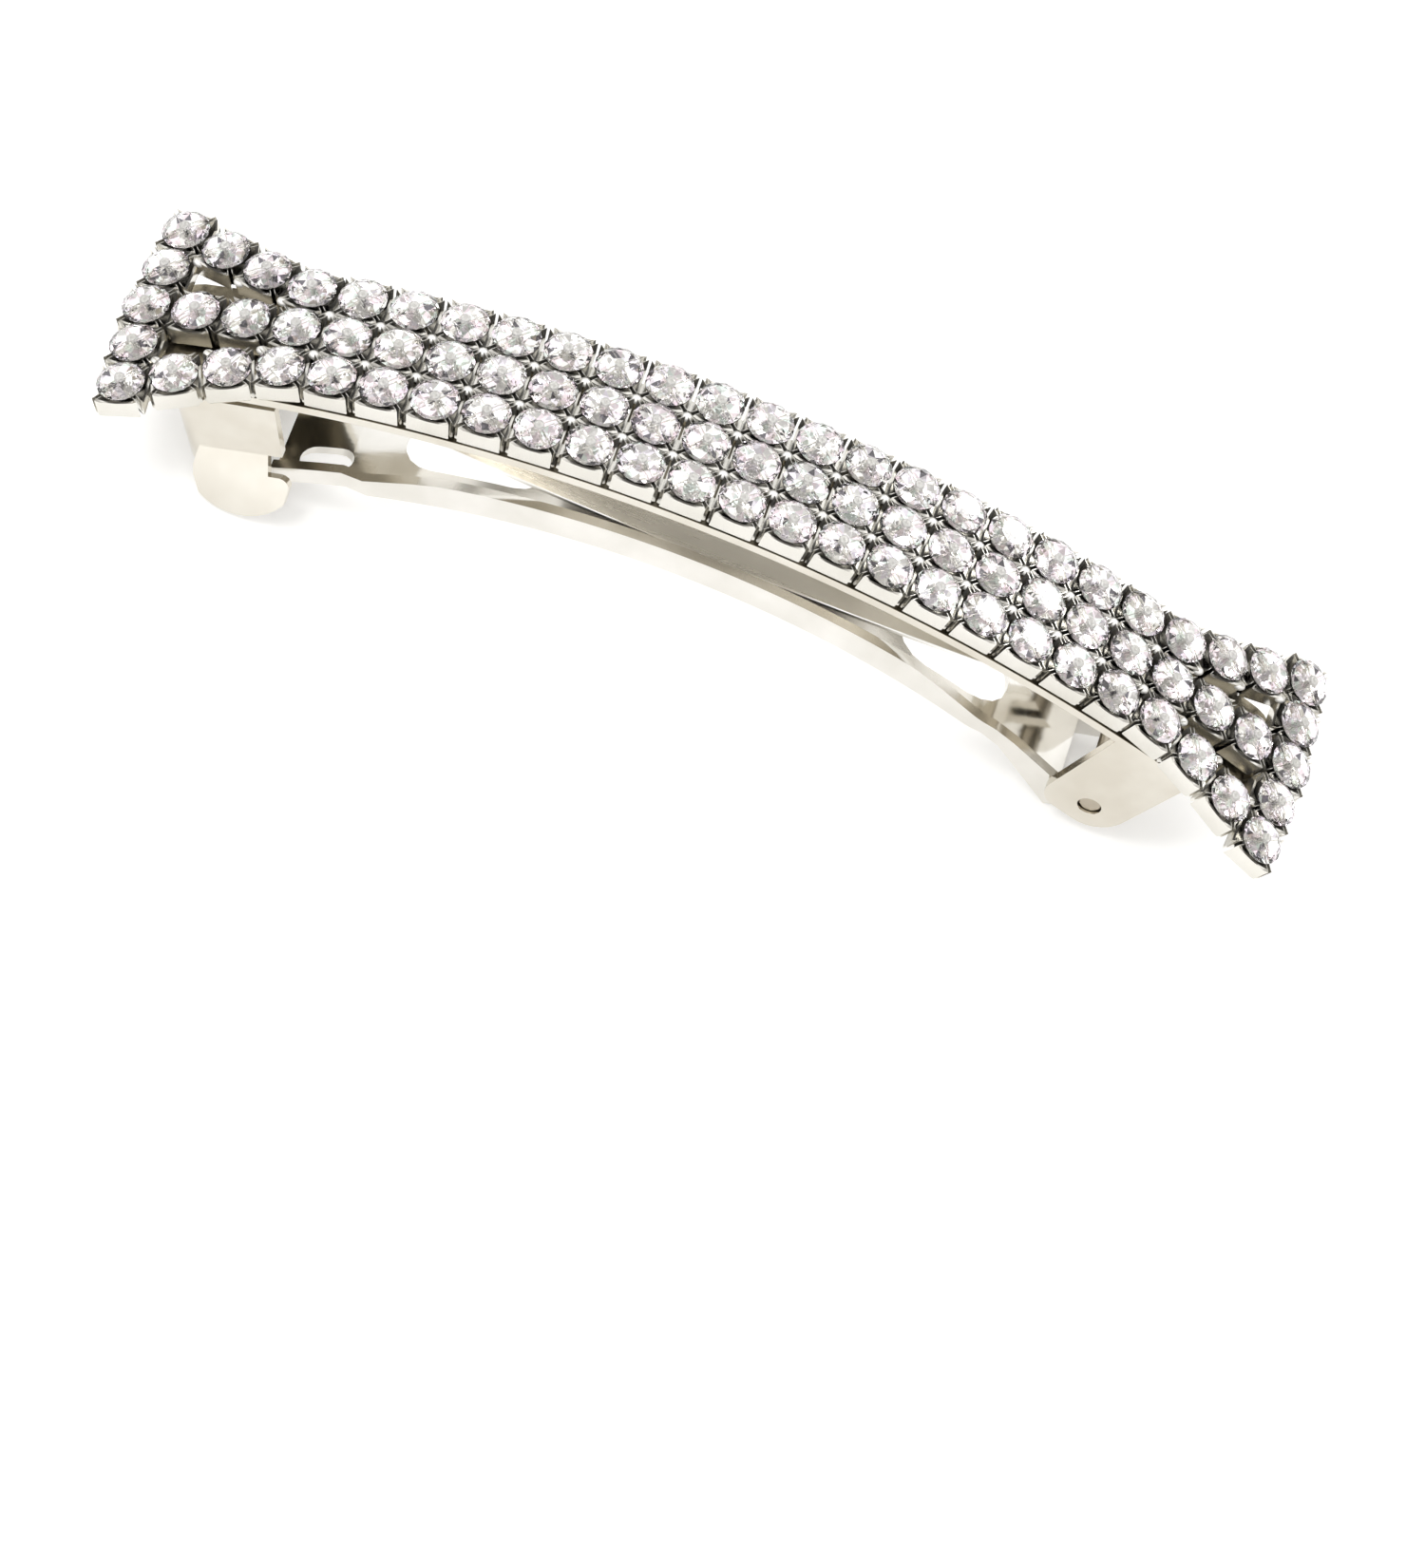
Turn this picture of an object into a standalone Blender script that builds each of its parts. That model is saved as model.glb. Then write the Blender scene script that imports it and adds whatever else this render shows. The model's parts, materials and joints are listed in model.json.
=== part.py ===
"""Rhinestone hair clip: three rows of claw-set stones on an arched French clasp.

Metres, +Z up. +X points to the hinge end, -Y to the front row, and the clip is
symmetric about Y = 0. The origin is under the middle of the clip, at the lowest point.
Sizes below are in millimetres. Places on the arch are given as (s, y, n): s runs along
the arch at the stones' girdles, y across it, and n is the height above the girdles.
"""
import math

import bmesh
import bpy
from mathutils import Matrix, Vector

MM = 0.001

# The stones and their cups
CUP_PITCH = 3.5            # from one cup to the next in a row
CUPS_PER_ROW = 25
ROW_SPACING = 3.325
ARCH_RADIUS = 95.9
CREST_HEIGHT = 18.988      # middle stone's girdle above the lowest point
FAN_SPREAD = (2.0, 1.62, 1.27, 1.02)   # last outer cups' offsets, in row spacings
FAN_TURN = (6.0, 19.0, 17.0, 8.0)      # and their turns, in degrees
CUP_HALF = 1.55
CUP_SEAT_HALF = 1.13
CUP_FLOOR_HALF = 0.35
CUP_BOTTOM = -1.85
CUP_SEAT_BOTTOM = -1.45
CUP_RIM = -0.3
PRONG_TOP = 0.42
PRONG_LEAN = 0.24
LINK_WIDTH = 1.2
LINK_THICKNESS = 0.45
STONE_RADIUS = 1.45
STONE_TABLE_RADIUS = 0.85
STONE_TABLE = 0.6
STONE_CULET = -1.3
STONE_SIDES = 8
WEB_WIDTH = 0.5
WEB_BOTTOM = -0.2
WEB_TOP = -0.05

# The base plate, with its hinge ears and the wall at its catch end
SHEET = 0.7                # thickness of the pressed sheet
PLATE_TOP = -2.15
PLATE_BOTTOM = -2.85
PLATE_HALF = 4.4
PLATE_CAMBER = 0.45        # how far the strip's edges are turned down
PLATE_START = -41.3
PLATE_END = 41.3
PLATE_CORNER = 1.5
EAR_START = 30.4
EAR_END = 36.7
EAR_BOTTOM = -12.7
EAR_CORNERS = (1.7, 2.6)   # radii at the ear's inner and outer corner
END_WALL_PLACE = -39.2
END_WALL_HALF = 2.6
END_WALL_BOTTOM = -9.6

# The hinge pin
PIN_PLACE = (33.9, -10.57)  # s and n
PIN_RADIUS = 0.75
PIN_HALF_LENGTH = 4.2
PIN_CLEARANCE = 0.07
PIN_HOLE_HALF_LENGTH = 6.0
ROUND_SIDES = 24

# The spring leaf, bowed between the plate and the lever. Its heights are from the crest.
LEAF_HALF = 3.2
LEAF_THICKNESS = 0.35
LEAF_REACH = 24.3
LEAF_MIDDLE = -7.65
LEAF_RISE = 0.95
LEAF_STEPS = 24
TAB_HALF = 1.6
TAB_PLACE = 24.78
TAB_TOP = -5.75
SLOT_CLEARANCE = 0.17
SLOT_TOP = -4.0

# The lever: a channel along an arc, bent down to its heel
LEVER_RADIUS = 55.0
LEVER_BOTTOM = -8.85       # underside at the middle, from the crest
LEVER_TIP = -28.45
LEVER_BEND = 19.2
HEEL_RADIUS = 5.0
HEEL_ANGLE = 22.5          # degrees
HEEL_LENGTH = 8.3
LEVER_HALF = 4.4
TONGUE_HALF = 3.85
HEEL_HALF = 3.4
FLANGE = 2.2
TONGUE_FLANGE = 1.4
HEEL_FLANGE = 1.3
LUG_RADIUS = 1.9
SHOULDER = (-24.2, -22.6)  # x where the tongue widens
WAIST = (19.4, 22.4)       # x where the lever narrows to its heel
FLANGE_RISE = (-24.2, -16.6)   # x where its side walls gain height,
FLANGE_DIP = (13.4, 20.4)      # lose it before the bend
FLANGE_RETURN = (22.4, 25.4)   # and gain it again
WINDOWS = ((-21.4, -11.8, 0.0, 2.1), (13.0, 21.6, 0.0, 2.6),
           (-27.6, -24.2, -2.2, 0.95), (-27.6, -24.2, 2.2, 0.95))   # start, end, y, half width
WINDOW_REACH = (-18.0, -7.9)   # heights their cutters span
LUG_OVERLAP = 2.2          # how far the lugs run back along the heel

# The catch's sprung wings
WING_TOP = -3.65
WING_START = -38.0
WING_END = -32.0
WING_CORNER = 2.2
WING_BEND = -8.6
WING_CORNER_BOTTOM = -10.6
WING_FLARE = 25.0          # degrees
TRIM_REACH = (3.0, 6.0)    # y span of the cutter that ends the neck at its bend
TRIM_LENGTH = 8.0
NOTCH_START = -33.3
NOTCH_DEPTH = 1.5          # below the bend
FOOT_PLACE = -35.2
FOOT_HALF = 3.35
FOOT_CORNER = 0.7
FOOT_LENGTH = 4.7
FOOT_ROUND = 4.2           # radius of its lower edge
FOOT_SHOULDER = -1.4       # from the bend down to the foot's full width


def arch_point(s, y, n):
    angle = s / ARCH_RADIUS
    radius = ARCH_RADIUS + n
    height = CREST_HEIGHT - ARCH_RADIUS + radius * math.cos(angle)
    return Vector((radius * math.sin(angle), y, height)) * MM


def arch_frame(s, y, n, turn=0.0):
    """Matrix whose X runs along the arch and whose Z leaves it, in metres."""
    tilt = Matrix.Rotation(s / ARCH_RADIUS, 4, "Y")
    spin = Matrix.Rotation(turn, 4, "Z")
    return Matrix.Translation(arch_point(s, y, n)) @ tilt @ spin


def crest_point(x, y, z):
    """A point given by its height from the crest instead of from the ground."""
    return Vector((x, y, CREST_HEIGHT + z)) * MM


def clear_scene():
    for item in list(bpy.data.objects):
        bpy.data.objects.remove(item, do_unlink=True)


def metal(name, colour, roughness):
    material = bpy.data.materials.new(name)
    material.use_nodes = True
    shader = material.node_tree.nodes["Principled BSDF"]
    shader.inputs["Base Color"].default_value = (*colour, 1.0)
    shader.inputs["Metallic"].default_value = 1.0
    shader.inputs["Roughness"].default_value = roughness
    return material


def crystal(name, colour):
    material = bpy.data.materials.new(name)
    material.use_nodes = True
    shader = material.node_tree.nodes["Principled BSDF"]
    shader.inputs["Base Color"].default_value = (*colour, 1.0)
    shader.inputs["Roughness"].default_value = 0.03
    shader.inputs["IOR"].default_value = 1.55
    return material


def finish(bm, name, material, origin=None):
    """Turn a bmesh into an object whose origin is on its joint's axis."""
    bmesh.ops.recalc_face_normals(bm, faces=bm.faces[:])
    if origin is not None:
        bmesh.ops.translate(bm, verts=bm.verts[:], vec=-origin)
    mesh = bpy.data.meshes.new(name)
    bm.to_mesh(mesh)
    bm.free()
    item = bpy.data.objects.new(name, mesh)
    item.location = origin or Vector((0.0, 0.0, 0.0))
    bpy.context.scene.collection.objects.link(item)
    item.data.materials.append(material)
    return item


def combine(item, cutter, operation):
    """Apply one exact Boolean and remove the cutter."""
    cutter.hide_render = True
    cutter.display_type = "WIRE"
    modifier = item.modifiers.new(operation.title(), "BOOLEAN")
    modifier.operation = operation
    modifier.solver = "EXACT"
    modifier.object = cutter
    bpy.context.view_layer.update()
    graph = bpy.context.evaluated_depsgraph_get()
    result = bpy.data.meshes.new_from_object(item.evaluated_get(graph))
    item.modifiers.clear()
    item.data = result
    bpy.data.objects.remove(cutter, do_unlink=True)


def add_prism(bm, low, high):
    """Close two matching rings of points into a solid."""
    ring_a = [bm.verts.new(point) for point in low]
    ring_b = [bm.verts.new(point) for point in high]
    bm.faces.new(list(reversed(ring_a)))
    bm.faces.new(ring_b)
    count = len(ring_a)
    for i in range(count):
        j = (i + 1) % count
        bm.faces.new((ring_a[i], ring_a[j], ring_b[j], ring_b[i]))


def add_sweep(bm, sections):
    """Join a run of matching rings into one solid with capped ends."""
    rings = [[bm.verts.new(point) for point in ring] for ring in sections]
    for ring_a, ring_b in zip(rings, rings[1:]):
        count = len(ring_a)
        for i in range(count):
            j = (i + 1) % count
            bm.faces.new((ring_a[i], ring_a[j], ring_b[j], ring_b[i]))
    bm.faces.new(list(reversed(rings[0])))
    bm.faces.new(rings[-1])


def add_box(bm, frame, low, high):
    corners = [(x, y) for x, y in ((low[0], low[1]), (high[0], low[1]),
                                   (high[0], high[1]), (low[0], high[1]))]
    rings = [[frame @ (Vector((x, y, z)) * MM) for x, y in corners] for z in (low[2], high[2])]
    add_prism(bm, *rings)


def arc(centre, radius, start, end, steps):
    """Points of an arc in a plane; the angles are in degrees."""
    angles = [math.radians(start + (end - start) * i / steps) for i in range(steps + 1)]
    return [(centre[0] + radius * math.cos(a), centre[1] + radius * math.sin(a)) for a in angles]


def ease(value, start, end):
    part = min(1.0, max(0.0, (value - start) / (end - start)))
    return part * part * (3.0 - 2.0 * part)


# ---------------------------------------------------------------- stones and cups

def row_places(side):
    """(s, y, turn) of each cup in a row; side is -1 front, 0 middle, 1 rear."""
    last = CUPS_PER_ROW - 1
    offsets = [1.0] * CUPS_PER_ROW
    turns = [0.0] * CUPS_PER_ROW
    for i, (spread, turn) in enumerate(zip(FAN_SPREAD, FAN_TURN)):
        offsets[i] = spread
        offsets[last - i] = spread
        turns[i] = -turn
        turns[last - i] = turn
    lateral = [side * ROW_SPACING * offset for offset in offsets]
    middle = last // 2
    along = [0.0] * CUPS_PER_ROW
    for i in range(middle + 1, CUPS_PER_ROW):
        step = math.sqrt(CUP_PITCH ** 2 - (lateral[i] - lateral[i - 1]) ** 2)
        along[i] = along[i - 1] + step
        along[last - i] = -along[i]
    return [(s, y, side * math.radians(turn)) for s, y, turn in zip(along, lateral, turns)]


def end_places():
    """The in-between cup of each corner of the fans, by name."""
    outer = row_places(1)[-1]
    middle = row_places(0)[-1]
    s = (outer[0] + middle[0]) / 2.0
    y = outer[1] / 2.0
    return {
        "front_left": (-s, -y, 0.0),
        "rear_left": (-s, y, 0.0),
        "front_right": (s, -y, 0.0),
        "rear_right": (s, y, 0.0),
    }


def add_cup(bm, place):
    """A square claw cup: a block with a tapered seat and four leaning prongs."""
    s, y, turn = place
    frame = arch_frame(s, y, 0.0, turn)

    def vert(a, b, n):
        return bm.verts.new(frame @ (Vector((a, b, n)) * MM))

    h = CUP_HALF
    k = CUP_SEAT_HALF
    f = CUP_FLOOR_HALF
    quarter = [(1, 1), (-1, 1), (-1, -1), (1, -1)]
    bottom = [vert(a * h, b * h, CUP_BOTTOM) for a, b in quarter]
    corner = [vert(a * h, b * h, CUP_RIM) for a, b in quarter]
    inner = [vert(a * k, b * k, CUP_RIM) for a, b in quarter]
    seat = [vert(a * f, b * f, CUP_SEAT_BOTTOM) for a, b in quarter]
    on_x = [vert(a * h, b * k, CUP_RIM) for a, b in quarter]
    on_y = [vert(a * k, b * h, CUP_RIM) for a, b in quarter]
    lean = PRONG_LEAN
    bm.faces.new(bottom)
    bm.faces.new(seat)
    for i, (a, b) in enumerate(quarter):
        j = (i + 1) % 4
        rings = ((on_y, on_y), (on_x, on_x))[i % 2]
        first = rings[0][i]
        second = rings[1][j]
        bm.faces.new((bottom[i], bottom[j], corner[j], second, first, corner[i]))
        bm.faces.new((first, second, inner[j], inner[i]))
        bm.faces.new((inner[i], inner[j], seat[j], seat[i]))
        base = (corner[i], on_x[i], inner[i], on_y[i])
        plan = ((h, h), (h, k), (k, k), (k, h))
        top = [vert(a * (p - lean), b * (q - lean), PRONG_TOP) for p, q in plan]
        bm.faces.new(top)
        for m in range(4):
            bm.faces.new((base[m], base[(m + 1) % 4], top[(m + 1) % 4], top[m]))


def add_stone(bm, place):
    """A pointed-back stone: table, crown and pavilion."""
    s, y, turn = place
    frame = arch_frame(s, y, 0.0, turn)

    def ring(radius, n):
        angles = [math.tau * (i + 0.5) / STONE_SIDES for i in range(STONE_SIDES)]
        points = [(radius * math.cos(a), radius * math.sin(a), n) for a in angles]
        return [bm.verts.new(frame @ (Vector(point) * MM)) for point in points]

    table = ring(STONE_TABLE_RADIUS, STONE_TABLE)
    girdle = ring(STONE_RADIUS, 0.0)
    culet = bm.verts.new(frame @ (Vector((0.0, 0.0, STONE_CULET)) * MM))
    bm.faces.new(table)
    for i in range(STONE_SIDES):
        j = (i + 1) % STONE_SIDES
        bm.faces.new((girdle[i], girdle[j], table[j], table[i]))
        bm.faces.new((girdle[j], girdle[i], culet))


def add_bar(bm, start, end, half_width, levels, overlap):
    """A short bar between two cups, reaching a little way into both."""
    points = []
    for s, y, _ in (start, end):
        points.append(Vector((s, y)))
    direction = (points[1] - points[0]).normalized()
    across = Vector((-direction.y, direction.x)) * half_width
    ends = (points[0] + direction * overlap, points[1] - direction * overlap)
    plan = [ends[0] - across, ends[1] - across, ends[1] + across, ends[0] + across]
    rings = [[arch_point(p.x, p.y, n) for p in plan] for n in levels]
    add_prism(bm, *rings)


def make_row(name, side, add_piece, bar, material):
    """A row of cups or stones, made one solid by the bars between neighbours."""
    places = row_places(side)
    pieces = bmesh.new()
    for place in places:
        add_piece(pieces, place)
    row = finish(pieces, name, material)
    bars = bmesh.new()
    half_width, levels, overlap = bar
    for start, end in zip(places, places[1:]):
        add_bar(bars, start, end, half_width, levels, overlap)
    combine(row, finish(bars, name + "_bars", material), "UNION")
    return row


def make_stones_and_cups(plating, crystal_material):
    link = (LINK_WIDTH / 2.0, (CUP_BOTTOM + 0.1, CUP_BOTTOM + LINK_THICKNESS), CUP_HALF - 0.25)
    web = (WEB_WIDTH / 2.0, (WEB_BOTTOM, WEB_TOP), STONE_RADIUS * 0.6)
    for label, side in (("front", -1), ("middle", 0), ("rear", 1)):
        make_row(f"cup_chain_{label}", side, add_cup, link, plating)
        make_row(f"stones_{label}", side, add_stone, web, crystal_material)
    for label, place in end_places().items():
        cup = bmesh.new()
        add_cup(cup, place)
        finish(cup, f"end_cup_{label}", plating)
        stone = bmesh.new()
        add_stone(stone, place)
        finish(stone, f"end_stone_{label}", crystal_material)


# ---------------------------------------------------------------- clasp

def sag(y):
    """How far the cambered strip lies below its middle at this place across it."""
    return PLATE_CAMBER * (y / PLATE_HALF) ** 2


def make_plate(plating, pin):
    """The arched base plate with two hinge ears, an end wall and the leaf's slots."""
    count = 40
    corner = PLATE_CORNER
    rounding = [corner * (1.0 - math.cos(math.radians(a))) for a in (20, 45, 65, 90)]
    middle = [PLATE_START + corner + (PLATE_END - PLATE_START - 2.0 * corner) * i / count
              for i in range(count + 1)]
    places = [PLATE_START + r for r in rounding[:-1]] + middle
    places += [PLATE_END - r for r in reversed(rounding[:-1])]
    sections = []
    for s in places:
        inside = min(corner, s - PLATE_START, PLATE_END - s)
        half = PLATE_HALF - corner + math.sqrt(corner ** 2 - (corner - inside) ** 2)
        across = [half * step / 3.0 for step in range(-3, 4)]
        plan = [(y, PLATE_BOTTOM - sag(y)) for y in across]
        plan += [(y, PLATE_TOP - sag(y)) for y in reversed(across)]
        sections.append([arch_point(s, y, n) for y, n in plan])
    strip = bmesh.new()
    add_sweep(strip, sections)
    plate = finish(strip, "base_plate", plating)

    inner, outer = EAR_CORNERS
    root = (PLATE_TOP + PLATE_BOTTOM) / 2.0 - sag(PLATE_HALF)
    outline = [(EAR_END, root), (EAR_END, EAR_BOTTOM / 2.0)]
    outline += arc((EAR_END - outer, EAR_BOTTOM + outer), outer, 0, -90, 7)
    outline += arc((EAR_START + inner, EAR_BOTTOM + inner), inner, -90, -180, 6)
    outline += [(EAR_START, EAR_BOTTOM / 2.0), (EAR_START, root)]
    for side in (-1, 1):
        ear = bmesh.new()
        faces = (side * (PLATE_HALF - SHEET), side * PLATE_HALF)
        add_prism(ear, *[[arch_point(s, y, n) for s, n in outline] for y in faces])
        combine(plate, finish(ear, "ear", plating), "UNION")

    wall = bmesh.new()
    frame = arch_frame(END_WALL_PLACE, 0.0, 0.0)
    low = (0.0, -END_WALL_HALF, END_WALL_BOTTOM)
    high = (SHEET, END_WALL_HALF, root + sag(END_WALL_HALF))
    add_box(wall, frame, low, high)
    combine(plate, finish(wall, "end_wall", plating), "UNION")

    slots = bmesh.new()
    half = LEAF_THICKNESS / 2.0 + SLOT_CLEARANCE
    for side in (-1, 1):
        low = (side * TAB_PLACE - half, -TAB_HALF - SLOT_CLEARANCE, CREST_HEIGHT + LEAF_MIDDLE)
        high = (side * TAB_PLACE + half, TAB_HALF + SLOT_CLEARANCE, CREST_HEIGHT + SLOT_TOP)
        add_box(slots, Matrix(), low, high)
    combine(plate, finish(slots, "slots", plating), "DIFFERENCE")
    combine(plate, pin_hole(pin, plating), "DIFFERENCE")
    return plate


def round_bar(centre, radius, half_length, material, name):
    """A many-sided bar about an axis along Y."""
    bar = bmesh.new()
    angles = [math.tau * i / ROUND_SIDES for i in range(ROUND_SIDES)]
    ring = [(radius * math.cos(a), radius * math.sin(a)) for a in angles]
    ends = [[centre + Vector((a, y, b)) * MM for a, b in ring] for y in (-half_length, half_length)]
    add_prism(bar, *ends)
    return finish(bar, name, material, centre)


def pin_hole(pin, material):
    return round_bar(pin, PIN_RADIUS + PIN_CLEARANCE, PIN_HOLE_HALF_LENGTH, material, "pin_hole")


def make_leaf(steel):
    """The spring leaf: a bowed strip whose ends turn up into the plate's slots."""
    path = []
    for i in range(LEAF_STEPS + 1):
        x = -LEAF_REACH + 2.0 * LEAF_REACH * i / LEAF_STEPS
        path.append((x, LEAF_MIDDLE + LEAF_RISE * (x / LEAF_REACH) ** 2, LEAF_HALF))
    end = path[-1][1]
    bend = [(TAB_PLACE - 0.13, end + 0.1, TAB_HALF), (TAB_PLACE, end + 0.4, TAB_HALF)]
    tail = bend + [(TAB_PLACE, TAB_TOP, TAB_HALF)]
    head = [(-x, z, half) for x, z, half in reversed(tail)]
    path = head + path + tail
    sections = []
    for i, (x, z, half) in enumerate(path):
        before = path[max(0, i - 1)]
        after = path[min(len(path) - 1, i + 1)]
        direction = Vector((after[0] - before[0], after[1] - before[1])).normalized()
        offset = Vector((-direction.y, direction.x)) * LEAF_THICKNESS / 2.0
        low = (x - offset.x, z - offset.y)
        high = (x + offset.x, z + offset.y)
        plan = ((low, -half), (low, half), (high, half), (high, -half))
        sections.append([crest_point(point[0], y, point[1]) for point, y in plan])
    leaf = bmesh.new()
    add_sweep(leaf, sections)
    return finish(leaf, "spring_leaf", steel)


def lever_path():
    """(x, z from the crest, slope) down the lever's underside, from tip to heel."""
    centre = LEVER_BOTTOM - LEVER_RADIUS
    first = math.asin(LEVER_TIP / LEVER_RADIUS)
    last = math.asin(LEVER_BEND / LEVER_RADIUS)
    path = []
    for i in range(31):
        angle = first + (last - first) * i / 30
        path.append((LEVER_RADIUS * math.sin(angle), centre + LEVER_RADIUS * math.cos(angle), angle))
    x, z, _ = path[-1]
    pivot = (x - HEEL_RADIUS * math.sin(last), z - HEEL_RADIUS * math.cos(last))
    for i in range(1, 6):
        angle = last + math.radians(HEEL_ANGLE) * i / 5
        path.append((pivot[0] + HEEL_RADIUS * math.sin(angle),
                     pivot[1] + HEEL_RADIUS * math.cos(angle), angle))
    x, z, angle = path[-1]
    for i in range(1, 5):
        length = HEEL_LENGTH * i / 4
        path.append((x + length * math.cos(angle), z - length * math.sin(angle), angle))
    return path


def lever_half(x):
    half = TONGUE_HALF + (LEVER_HALF - TONGUE_HALF) * ease(x, *SHOULDER)
    return half + (HEEL_HALF - LEVER_HALF) * ease(x, *WAIST)


def lever_flange(x):
    """Height of the lever's side walls, which dip towards the tip and at the bend."""
    rise = (FLANGE - TONGUE_FLANGE) * ease(x, *FLANGE_RISE)
    dip = (FLANGE - HEEL_FLANGE) * (ease(x, *FLANGE_DIP) - ease(x, *FLANGE_RETURN))
    return TONGUE_FLANGE + rise - dip


def make_lever(plating, pin):
    """The channel-shaped lever, its windows, and the lugs that turn on the pin."""
    sections = []
    path = lever_path()
    for x, z, angle in path:
        up = Vector((math.sin(angle), math.cos(angle)))
        half = lever_half(x)
        wall = lever_flange(x)
        plan = ((-half, 0.0), (half, 0.0), (half, wall), (half - SHEET, wall), (half - SHEET, SHEET),
                (SHEET - half, SHEET), (SHEET - half, wall), (-half, wall))
        sections.append([crest_point(x + up.x * h, y, z + up.y * h) for y, h in plan])
    channel = bmesh.new()
    add_sweep(channel, sections)
    lever = finish(channel, "lever", plating, pin)

    windows = bmesh.new()
    for start, end, y, half in WINDOWS:
        outline = arc((end - half, y), half, -90, 90, 8) + arc((start + half, y), half, 90, 270, 8)
        add_prism(windows, *[[crest_point(a, b, z) for a, b in outline] for z in WINDOW_REACH])
    combine(lever, finish(windows, "windows", plating), "DIFFERENCE")

    x, z, angle = path[-1]
    hub = Vector((pin.x, pin.z)) / MM - Vector((0.0, CREST_HEIGHT))
    back = Vector((-math.cos(angle), math.sin(angle)))
    up = Vector((math.sin(angle), math.cos(angle)))
    heel = Vector((x, z))
    outline = [tuple(heel + back * LUG_OVERLAP + up * 0.05), tuple(heel + back * 0.05 + up * 0.05)]
    outline += arc(hub, LUG_RADIUS, -75, 105, 12)
    outline += [tuple(heel + back * 0.6 + up * FLANGE)]
    for side in (-1, 1):
        lug = bmesh.new()
        faces = (side * (HEEL_HALF - SHEET + 0.02), side * (HEEL_HALF - 0.02))
        add_prism(lug, *[[crest_point(a, y, b) for a, b in outline] for y in faces])
        combine(lever, finish(lug, "lug", plating), "UNION")
    combine(lever, pin_hole(pin, plating), "DIFFERENCE")
    return lever


def wing_neck(side):
    """The wing's upright, with its rounded corner."""
    outer = PLATE_HALF
    inner = PLATE_HALF - SHEET
    centre = (WING_START, outer - WING_CORNER)
    outside = [(s, y) for s, y in arc(centre, WING_CORNER, 90, 180, 8)]
    inside = [(s, y) for s, y in arc(centre, WING_CORNER - SHEET, 180, 90, 8)]
    plan = [(WING_END, outer)] + outside + inside + [(WING_END, inner)]
    neck = bmesh.new()
    levels = (WING_CORNER_BOTTOM, WING_TOP)
    add_prism(neck, *[[arch_point(s, side * y, n) for s, y in plan] for n in levels])
    return neck


def foot_frame(side):
    """The frame of a foot: Z runs back up it from the bend and Y leaves the clip."""
    bend = arch_frame(FOOT_PLACE, side * PLATE_HALF, WING_BEND)
    turn = Matrix.Rotation(side * math.radians(WING_FLARE), 4, "X")
    return bend @ turn


def make_wing(name, side, plating):
    """One sprung wing of the catch, with its flared finger pad."""
    hinge = arch_point(FOOT_PLACE, side * (PLATE_HALF - SHEET / 2.0), WING_TOP)
    wing = finish(wing_neck(side), name, plating, hinge)

    trim = bmesh.new()
    low = (0.0, min(side * TRIM_REACH[0], side * TRIM_REACH[1]), WING_CORNER_BOTTOM - 1.0)
    high = (TRIM_LENGTH, max(side * TRIM_REACH[0], side * TRIM_REACH[1]), WING_BEND)
    add_box(trim, arch_frame(WING_START, 0.0, 0.0), low, high)
    combine(wing, finish(trim, "trim", plating), "DIFFERENCE")

    notch = NOTCH_START - FOOT_PLACE
    low = -NOTCH_DEPTH - FOOT_CORNER
    outline = [(notch, 0.3), (notch, -NOTCH_DEPTH)]
    outline += arc((FOOT_HALF - FOOT_CORNER, low), FOOT_CORNER, 90, 0, 4)
    outline += arc((0.0, FOOT_ROUND - FOOT_LENGTH), FOOT_ROUND, -45, -135, 9)
    outline += [(-FOOT_HALF, low), (-FOOT_HALF, FOOT_SHOULDER), (WING_START - FOOT_PLACE, 0.3)]
    foot = bmesh.new()
    frame = foot_frame(side)
    faces = (-side * 0.02, side * (0.02 - SHEET))
    add_prism(foot, *[[frame @ (Vector((a, y, b)) * MM) for a, b in outline] for y in faces])
    combine(wing, finish(foot, "foot", plating), "UNION")
    return wing


def main():
    clear_scene()
    plating = metal("nickel_plating", (0.72, 0.69, 0.63), 0.16)
    steel = metal("spring_steel", (0.66, 0.64, 0.6), 0.22)
    pin_steel = metal("pin_steel", (0.55, 0.52, 0.46), 0.3)
    stones = crystal("clear_crystal", (0.92, 0.9, 0.93))
    s, n = PIN_PLACE
    pin = arch_point(s, 0.0, n)
    make_plate(plating, pin)
    make_leaf(steel)
    make_lever(plating, pin)
    round_bar(pin, PIN_RADIUS, PIN_HALF_LENGTH, pin_steel, "hinge_pin")
    make_wing("catch_wing_front", -1, plating)
    make_wing("catch_wing_rear", 1, plating)
    make_stones_and_cups(plating, stones)


main()
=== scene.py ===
"""The look of a rhinestone hair clip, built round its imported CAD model.

Stones and cups are modelled one by one here: folded sheet cups with four claws,
and brilliant-cut stones with a foiled back. The clasp's CAD solids are redrawn with
rounded sheet edges. Lengths are in millimetres until a point is placed.
"""

import json
import math
import random

import bmesh
import bpy
from mathutils import Matrix, Vector

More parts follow.
